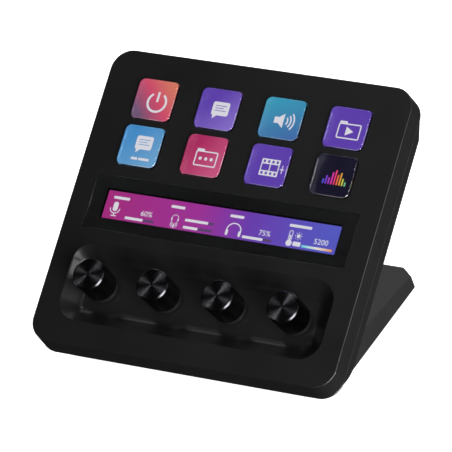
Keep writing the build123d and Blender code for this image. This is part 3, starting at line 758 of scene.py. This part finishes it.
# ---- key caps
def key_cap(settings, low, high):
    """A clear cap: flange at its foot, straight body, rounded edge and a top that sinks a bit."""
    flange, thin, corner, rounding, dishing = millimetres(
        settings, "flange", "flange_thickness", "corner", "edge_round", "dishing")
    shape = bmesh.new()
    rounded_face(shape, high.x - low.x, high.y - low.y, corner + flange, low.z)
    thicken(shape, thin)
    top = top_face(shape)
    inset(shape, top, flange)
    top = draw_up(shape, top, high.z - low.z - thin)
    round_edges(shape, top, rounding, 5)
    dish_top(shape, top_face(shape), dishing)
    return shape


def dish_top(shape, face, dishing):
    """Rings that sink towards the middle, as on a shallow bowl."""
    last = 1
    for ring in TOP_RINGS:
        face = draw_up(shape, face, dishing * (ring ** 2 - last ** 2))
        bmesh.ops.scale(shape, vec=(ring / last, ring / last, 1), verts=face.verts)
        last = ring


class KEYPAD_OT_clear_keys(bpy.types.Operator):
    """Makes the clear key caps"""
    bl_idname = "keypad.clear_keys"
    bl_label = "Clear keys"

    def execute(self, context):
        for number in range(1, KEY_COUNT + 1):
            node = f"key_cap_{number}"
            shape = key_cap(context.scene.keypad_keys, *span(node))
            even_shading(add_piece(shape, f"clear_key_{number}", finish_of(node), f"key_{number}",
                                   (*middle(node), 0), 50, [node]))
        return {"FINISHED"}


# ---- pictures behind the keys
# Each drawing adds its marks to a stencil. It returns a second one, if it has lines or holes in
# the marks that show the picture's ground.
def draw_power(marks):
    marks.arc(0, -0.2, 3.75, 4.75, 125, 290)
    marks.bar(0, 2.3, 1, 4.6, 0.2)


def draw_bubble(marks, x, y):
    """A speech bubble with three written lines."""
    marks.bar(x, y + 0.8, 7.8, 6.1, 1)
    marks.blade((x - 3.1, y - 1.9), (x - 1.2, y - 2.3), (x - 2.9, y - 3.9))
    lines = Stencil()
    for drop, line in ((0, 5.2), (1.1, 4.056), (2.2, 5.2)):
        lines.bar(x - 2.6 + line / 2, y + 2.1 - drop, line, 0.32, 0.1)
    return lines


def draw_note(marks):
    return draw_bubble(marks, 0, 0.3)


def draw_message(marks):
    lines = draw_bubble(marks, 0, 1.6)
    marks.bar(-2.6, -5, 3, 1.1, 0.3)
    marks.bar(1.9, -5, 5, 1.1, 0.3)
    return lines


def draw_sound(marks):
    """A loudspeaker with its sound."""
    marks.bar(-3.6, 0, 1.9, 2.8, 0.25)
    marks.blade((-2.7, -1.2), (-0.2, -3.3), (-0.2, 3.3), (-2.7, 1.2))
    for radius in (1.9, 3.4, 4.9):
        marks.arc(-0.6, 0, radius, radius + 0.65, -42, 84)


def draw_folder(marks):
    marks.ring(0, -0.5, 10.4, 6.9, 0.8, 0.55)
    marks.bar(-3.2, 3.3, 3.4, 1.1, 0.3)


def draw_play_folder(marks):
    draw_folder(marks)
    marks.blade((-1.4, -2.5), (2.1, -0.5), (-1.4, 1.5))


def draw_list_folder(marks):
    draw_folder(marks)
    for x in (-2.6, 0, 2.6):
        marks.disc(x, -0.5, 0.75, 20)


def draw_film(marks):
    """A strip of film and a small plus."""
    holes = Stencil()
    for y in (2.6, -2.6):
        marks.bar(-0.2, y, 8.5, 2.3, 0.25)
        for x in (-3.2, -1.2, 0.8, 2.8):
            holes.bar(x, y, 1, 1.15, 0.15)
    for x in (-4.2, -0.2, 3.8):
        marks.bar(x, 0, 0.45, 3.1)
    marks.bar(5.6, -0.2, 2, 0.4)
    for y in (0.8, -1.2):
        marks.bar(5.6, y, 0.4, 1.6)
    return holes


def draw_levels(marks):
    """A row of sound levels on one foot line."""
    for place, level in enumerate((2.2, 3.8, 3, 5.4, 6.6, 4.6, 5.6, 3.2, 1.8)):
        marks.bar(-5 + 1.25 * place, level / 2 - 3.2, 0.7, level, 0.3)


def key_pictures(tones):
    """What each key shows, in reading order: its name, its drawing and its run of colours."""
    plain_violet = [(0, tones.violet), (1, tones.violet)]
    return [
        ("power", draw_power, (14, 12), [(0, tones.dusk), (0.5, tones.rose), (1, tones.coral)]),
        ("note", draw_note, (14, -14), [(0.2, tones.violet), (0.9, tones.lilac)]),
        ("sound", draw_sound, (7, -18), [(0, tones.teal), (1, tones.slate)]),
        ("play_folder", draw_play_folder, (0, 18), plain_violet),
        ("message", draw_message, (14, -14), [(0, tones.sky), (1, tones.haze)]),
        ("list_folder", draw_list_folder, (16, -10), [(0.1, tones.crimson), (0.9, tones.pink)]),
        ("film", draw_film, (0, 18), plain_violet),
        ("levels", draw_levels, (0, 18), [(0, tones.night), (1, tones.night)]),
    ]


RAINBOW = [(0, paint(52, 96, 220)), (0.2, paint(140, 62, 214)), (0.4, paint(226, 60, 170)),
           (0.55, paint(240, 64, 84)), (0.7, paint(244, 150, 60)), (0.85, paint(200, 214, 70)),
           (1, paint(60, 206, 170))]


class KEYPAD_OT_key_pictures(bpy.types.Operator):
    """Makes the lit pictures behind the keys"""
    bl_idname = "keypad.key_pictures"
    bl_label = "Key pictures"

    def execute(self, context):
        tones = context.scene.keypad_pictures
        light = tones.brightness
        white = lit_marks("picture_marks", tones.mark_colour, light)
        screen = screen_depth()
        low, high = span("key_cap_1")
        rim = 2 * (context.scene.keypad_keys.flange - tones.reach) / MM
        size = (high.x - low.x - rim, high.y - low.y - rim)
        for number, (name, draw, run, stops) in enumerate(key_pictures(tones), 1):
            spot = middle(f"key_cap_{number}")
            ground = lit_plate(f"picture_{name}", stops, run, light, spot, size, 2, screen)
            finish = white
            if name == "levels":
                finish = lit_ground("picture_rainbow", RAINBOW, spot, (11, 0), light)
            marks = Stencil()
            lines = draw(marks)
            marks.piece(f"symbol_{name}", finish, *spot, screen - LAYER)
            if lines:
                lines.piece(f"symbol_{name}_lines", ground, *spot, screen - 2 * LAYER)
        return {"FINISHED"}


# ---- touch strip
def draw_microphone(marks, x, y):
    marks.bar(x, y + 1.2, 2.2, 4.2, 1.05)
    marks.arc(x, y + 0.4, 2, 2.4, 180, 180)
    marks.bar(x, y - 2.3, 0.4, 1)
    marks.bar(x, y - 2.9, 2.6, 0.45, 0.2)


def draw_headphones(marks, x, y, size):
    """Headphones: a band over two ear pads."""
    marks.arc(x, y - 0.15 * size, 0.43 * size, 0.5 * size, 0, 180)
    for side in (-1, 1):
        marks.bar(x + side * 0.42 * size, y - 0.3 * size, 0.17 * size, 0.36 * size, 0.08 * size)


def draw_broadcast(marks, x, y):
    marks.disc(x, y, 0.35, 16)
    marks.blade((x - 0.2, y), (x + 0.2, y), (x + 0.45, y - 1.5), (x - 0.45, y - 1.5))
    for radius in (0.8, 1.4):
        marks.arc(x, y, radius, radius + 0.25, -50, 100)
        marks.arc(x, y, radius, radius + 0.25, 130, 100)


def draw_thermometer(marks, x, y):
    marks.ring(x, y + 1, 1.7, 4.8, 0.84, 0.3)
    marks.bar(x, y - 0.3, 0.6, 3.4, 0.28)
    marks.disc(x, y - 2.2, 1.35, 28)


def draw_sun(marks, x, y):
    marks.disc(x, y, 0.8, 24)
    for turn in range(0, 360, 45):
        right, up = 1.45 * cos(radians(turn)), 1.45 * sin(radians(turn))
        marks.bar(x + right, y + up, 0.6, 0.25, 0, turn)


def draw_level_bar(marks, dark, x, y, width, filled):
    """A level bar, lit up to a share of its width."""
    height = 1.15
    lit = width * filled
    marks.bar(x + lit / 2, y, lit, height, 0.2)
    dark.bar(x + lit + (width - lit) / 2 + 0.1, y, width - lit - 0.2, height, 0.2)


class KEYPAD_OT_touch_strip(bpy.types.Operator):
    """Makes the touch glass, its black print and the lit strip behind it"""
    bl_idname = "keypad.touch_strip"
    bl_label = "Touch strip"

    def execute(self, context):
        settings = context.scene.keypad_strip
        pictures = context.scene.keypad_pictures
        x, y = middle("touch_glass")
        flange = context.scene.keypad_keys.flange / MM
        lit_width = span("key_cap_4")[1].x - span("key_cap_1")[0].x - 2 * flange
        lit_height = settings.lit_height / MM
        left = -lit_width / 2 - LIT_SHIFT
        self.cover(settings, lit_width, lit_height, x, y)
        stops = [(0, settings.left_colour), (0.4, settings.left_middle_colour),
                 (0.62, settings.middle_colour), (0.95, settings.right_colour)]
        lit_plate("lit_strip", stops, (lit_width, 0), pictures.brightness,
                  (left + lit_width / 2, y), (lit_width, lit_height), 0.2, screen_depth())
        self.symbols(settings, pictures, left, y + lit_height / 2)
        return {"FINISHED"}

    def cover(self, settings, lit_width, lit_height, x, y):
        """The glass, and the black ink under it, round the lit strip."""
        print_depth, window_corner = millimetres(settings, "print_depth", "window_corner")
        low, high = span("touch_glass")
        width = high.x - low.x
        height = high.y - low.y
        back = low.z + 1.5 * print_depth
        glass = bmesh.new()
        rounded_face(glass, width, height, GLASS_CORNER, back)
        thicken(glass, -back)
        round_edges(glass, top_face(glass), GLASS_BEVEL, 3)
        even_shading(add_piece(glass, "touch_glass_sheet", finish_of("touch_glass"), "housing",
                               (x, y, 0), 50, ["touch_glass"]))
        ink = bmesh.new()
        rounded_face(ink, width - 2 * PRINT_GAP, height - 2 * PRINT_GAP, GLASS_CORNER - PRINT_GAP)
        rounded_face(ink, lit_width + 2 * WINDOW_SIDE, lit_height + 2 * WINDOW_TOP, window_corner)
        bmesh.ops.delete(ink, geom=ink.faces[:], context="FACES_ONLY")
        bmesh.ops.bridge_loops(ink, edges=ink.edges[:])
        thicken(ink, print_depth)
        add_piece(ink, "touch_print", black_print("touch_print"), "housing",
                  (x, y, low.z))

    def symbols(self, settings, pictures, left, top):
        """Four readings side by side: a label, a sign, a number and a level."""
        marks = Stencil()
        dark = Stencil()
        for x, width in ((3, 7.5), (30.1, 6.4), (57.6, 6.4), (84.9, 10.2)):
            marks.bar(x + width / 2, -2.75, width, 1.2, 0.4)
        draw_microphone(marks, 5, -7.9)
        marks.number("60%", 17.2, -9)
        draw_level_bar(marks, dark, 10.6, -10.9, 13.5, 0.62)
        draw_headphones(marks, 33.4, -7.3, 3.4)
        draw_broadcast(marks, 33.4, -10.4)
        draw_level_bar(marks, dark, 38, -7.7, 13.4, 0.8)
        draw_level_bar(marks, dark, 38, -10.9, 13.4, 0.5)
        draw_headphones(marks, 60.9, -8, 7)
        marks.number("75%", 72.2, -9.1)
        draw_level_bar(marks, dark, 65.4, -10.9, 13.4, 0.7)
        draw_thermometer(marks, 86.6, -8.2)
        draw_sun(marks, 90.2, -6.9)
        marks.bar(90.2, -10.4, 3.5, 1.9, 0.4)
        marks.number("5200", 97.4, -9.1)
        light = pictures.brightness
        depth = screen_depth() - LAYER
        white = lit_marks("strip_marks", pictures.mark_colour, light)
        marks.piece("strip_marks", white, left, top, depth)
        grey = lit_marks("strip_dark_marks", settings.dark_mark, light)
        dark.piece("strip_dark_marks", grey, left, top, depth)
        cool_to_warm = [(0, paint(96, 214, 236)), (0.5, paint(240, 236, 226)),
                        (1, paint(240, 150, 70))]
        lit_plate("strip_warmth", cool_to_warm, (13.9, 0), light, (left + 99.5, top - 10.9),
                  (13.9, 1.05), 0.2, depth)


# ---- dials
def dial_cap(settings, low, high):
    """A turned cap: fine turning marks on its top, bright bevel, plain band and ribbed side."""
    bevel, band, bore, top, pitch, mark_depth, rib_depth = millimetres(
        settings, "bevel", "band", "bore", "top_thickness", "turning_pitch", "turning_depth",
        "rib_depth")
    radius = (high.x - low.x) / 2
    flat = radius - bevel - DIAL_STEP
    points = [(0, high.z)]
    for mark in range(int((flat - MARKS_START) / pitch), 0, -1):
        points.append((flat - mark * pitch, high.z))
        points.append((flat - (mark - 0.5) * pitch, high.z - mark_depth))
    points += [(flat, high.z), (radius - bevel, high.z), (radius, high.z - bevel),
               (radius, high.z - band), (radius, high.z - band - DIAL_STEP),
               (radius, low.z + DIAL_STEP), (radius - DIAL_STEP, low.z), (bore, low.z),
               (bore, high.z - top), (0, high.z - top)]
    shape = bmesh.new()
    chain(shape, points)
    columns = 3 * settings.ribs
    spin(shape, columns)
    ribbed = high.z - band - DIAL_STEP / 2
    side = radius - 1.5 * DIAL_STEP
    step = 2 * pi / columns
    grooves = [vert for vert in shape.verts
               if vert.co.z < ribbed and hypot(vert.co.x, vert.co.y) > side
               and round(atan2(vert.co.y, vert.co.x) / step) % 3 == 0]
    inward = 1 - rib_depth / radius
    bmesh.ops.scale(shape, vec=(inward, inward, 1), verts=grooves)
    return shape


class KEYPAD_OT_dials(bpy.types.Operator):
    """Makes the turned dial caps"""
    bl_idname = "keypad.dials"
    bl_label = "Dials"

    def execute(self, context):
        for number in range(1, DIAL_COUNT + 1):
            node = f"dial_cap_{number}"
            shape = dial_cap(context.scene.keypad_dials, *span(node))
            add_piece(shape, f"turned_cap_{number}", finish_of(node), f"dial_{number}",
                      (*middle(node), 0), 20, [node])
        return {"FINISHED"}


# ---- frame pieces
class KEYPAD_OT_dress_frame(bpy.types.Operator):
    """Gives the frame's own pieces their finishes"""
    bl_idname = "keypad.dress_frame"
    bl_label = "Dress the frame's pieces"

    def execute(self, context):
        scene = context.scene
        case = scene.keypad_case
        dials = scene.keypad_dials
        grain, depth = millimetres(case, "grain", "grain_depth")
        finishes = (
            moulded_plastic("case_black", case.case_colour, case.roughness, grain, depth),
            moulded_plastic("stand_black", case.stand_colour, case.stand_roughness, grain * 1.4,
                            depth * 1.5, 0.12),
            soft_rubber("black_silicone", paint(16, 16, 17), 0.6),
            soft_rubber("pad_rubber", paint(24, 24, 25), 0.7),
            dark_screen("display_glass"),
            diffuser("guide_acrylic"),
            metal("bright_steel", paint(196, 197, 200), 0.3, 0.5),
            metal("bracket_steel", paint(150, 152, 156), 0.4, 0.8),
            metal("black_steel", paint(44, 44, 47), 0.38, 0.3),
            moulded_plastic("inner_plastic", paint(38, 38, 40), 0.5, 0.4, 0.01),
            circuit_board("board_green"),
            chip_resin("chip_black"),
            amber_film("flex_amber"),
            moulded_plastic("dial_plastic", dials.core_colour, 0.38, 0.25, 0.004),
            anodised("dial_aluminium", dials.cap_colour),
            clear_plastic("clear_key", scene.keypad_keys.tint, ACRYLIC_INDEX),
            clear_plastic("touch_glass", scene.keypad_strip.glass_tint, GLASS_INDEX),
        )
        by_slot = {finish.name.split(".")[0]: finish for finish in finishes}
        for node in frame["nodes"].values():
            for holder in node.material_slots:
                holder.material = by_slot[holder.material.name.split(".")[0]]
        frame["nodes"]["usb_socket"].material_slots[0].material = socket_metal("usb_socket")
        return {"FINISHED"}


# ---- stage
BOX_DISTANCE = 1.3     # from the face's centre to each softbox, in metres

# The softboxes: azimuth and elevation in degrees, width and height in metres, brightness. The
# flat face mirrors none of them towards the camera.
SOFTBOXES = {
    "side_box": (90, -8, 0.4, 0.4, 30),
    "wall_box": (66, 40, 0.35, 0.35, 10),
    "rear_box": (170, 20, 0.8, 0.5, 3),
    "front_right_box": (49, 1, 0.64, 0.8, 20),
    "front_box": (0, 12, 0.4, 0.4, 2.4),
    "back_left_box": (-148, 21, 0.14, 0.3, 20),
    "far_left_box": (-122, 14, 0.3, 0.3, 31),
    "back_box": (-178, 50, 1, 0.25, 1.5),
    "streak_box": (-126, 58, 0.3, 0.4, 1.2),
    "left_box": (-80, -17, 0.5, 0.2, 1.2),
    "ray_box": (-52, 72, 0.1, 0.1, 19),
    "top_box": (-32, 71, 0.25, 0.12, 2.5),
    "wedge_box": (-5, 48, 0.2, 0.15, 4),
}


def direction(azimuth, elevation):
    """From the keypad towards a place round it: azimuth 0 is the front, 90 degrees the right."""
    return Vector((sin(azimuth) * cos(elevation), -cos(azimuth) * cos(elevation), sin(elevation)))


def softbox(name, azimuth, elevation, width, height, brightness):
    """A soft rectangular light that faces the keypad."""
    lamp = bpy.data.lights.new(name, "AREA")
    lamp.shape = "RECTANGLE"
    lamp.size = width
    lamp.size_y = height
    lamp.energy = brightness * pi * width * height
    box = add_object(name, lamp)
    away = direction(radians(azimuth), radians(elevation))
    box.location = FACE.translation + away * BOX_DISTANCE
    box.visible_camera = False
    box.rotation_mode = "QUATERNION"
    box.rotation_quaternion = away.to_track_quat("Z", "Y")


class KEYPAD_OT_stage(bpy.types.Operator):
    """Makes the floor, the lights and the camera"""
    bl_idname = "keypad.stage"
    bl_label = "Stage"

    def execute(self, context):
        settings = context.scene.keypad_stage
        self.floor(settings)
        self.air(settings)
        for name, values in SOFTBOXES.items():
            softbox(name, *values)
        self.camera(settings)
        context.scene.view_settings.view_transform = "Standard"
        return {"FINISHED"}

    def floor(self, settings):
        shape = bmesh.new()
        bmesh.ops.create_grid(shape, x_segments=8, y_segments=8, size=4)
        mesh = bpy.data.meshes.new("floor")
        shape.to_mesh(mesh)
        shape.free()
        floor = add_object("floor", mesh)
        finish = Finish("floor")
        paper = finish.noise(4, detail=4)
        mesh.materials.append(finish.surface({
            "Base Color": finish.mix(paper, settings.floor_colour, (0.93, 0.93, 0.93)),
            "Roughness": 0.8,
            "Specular IOR Level": 0.1,
            "Emission Color": opaque(WHITE),
            "Emission Strength": settings.floor_light,
        }))
        floor.visible_glossy = False
        floor.visible_diffuse = False
        floor.visible_shadow = False

    def air(self, settings):
        """Dim grey light from everywhere, which the camera sees as white."""
        world = bpy.data.worlds.new("air")
        world.use_nodes = True
        bpy.context.scene.world = world
        sheet = Sheet(world.node_tree)
        seen = sheet.node("LightPath", {}, "Is Camera Ray")
        strength = seen * (1 - settings.air_light) + settings.air_light
        sky = sheet.node("Background", {"Color": opaque(WHITE), "Strength": strength})
        sheet.node("OutputWorld", {"Surface": sky}, None)

    def camera(self, settings):
        lens = bpy.data.cameras.new("camera")
        lens.lens = settings.lens
        lens.sensor_width = 36
        lens.clip_start = 0.05
        lens.clip_end = 50
        camera = add_object("camera", lens)
        aim_right, aim_down = millimetres(settings, "aim_right", "aim_down")
        aim = FACE @ Vector((aim_right, -aim_down, 0))
        away = direction(settings.azimuth, settings.elevation)
        look = away.to_track_quat("Z", "Y").to_matrix().to_4x4()
        roll = Matrix.Rotation(settings.roll, 4, "Z")
        camera.matrix_world = Matrix.Translation(aim + away * settings.distance) @ look @ roll
        bpy.context.scene.camera = camera


# ---- add-on
class KEYPAD_PT_looks(bpy.types.Panel):
    """The steps that dress the keypad"""
    bl_idname = "KEYPAD_PT_looks"
    bl_label = "Macro keypad"
    bl_space_type = "VIEW_3D"
    bl_region_type = "UI"
    bl_category = "Keypad"

    def draw(self, context):
        for step in STEPS:
            self.layout.operator(step.bl_idname)
        for name in SETTINGS:
            settings = getattr(context.scene, name)
            column = self.layout.column()
            for key in settings.bl_rna.properties.keys():
                if key not in {"rna_type", "name"}:
                    column.prop(settings, key)


STEPS = (KEYPAD_OT_dress_frame, KEYPAD_OT_dish, KEYPAD_OT_clear_keys, KEYPAD_OT_key_pictures,
         KEYPAD_OT_touch_strip, KEYPAD_OT_dials, KEYPAD_OT_stage)
SETTINGS = {
    "keypad_case": KeypadCaseSettings,
    "keypad_dish": KeypadDishSettings,
    "keypad_keys": KeypadKeySettings,
    "keypad_pictures": KeypadPictureSettings,
    "keypad_strip": KeypadStripSettings,
    "keypad_dials": KeypadDialSettings,
    "keypad_stage": KeypadStageSettings,
}


def register():
    for name, settings in SETTINGS.items():
        bpy.utils.register_class(settings)
        setattr(bpy.types.Scene, name, PointerProperty(type=settings))
    for step in (*STEPS, KEYPAD_PT_looks):
        bpy.utils.register_class(step)


def unregister():
    for step in reversed((*STEPS, KEYPAD_PT_looks)):
        bpy.utils.unregister_class(step)
    for name, settings in SETTINGS.items():
        delattr(bpy.types.Scene, name)
        bpy.utils.unregister_class(settings)


def main():
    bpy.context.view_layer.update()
    register()
    for step in STEPS:
        family, name = step.bl_idname.split(".")
        getattr(getattr(bpy.ops, family), name)()


if __name__ == "__main__":
    main()
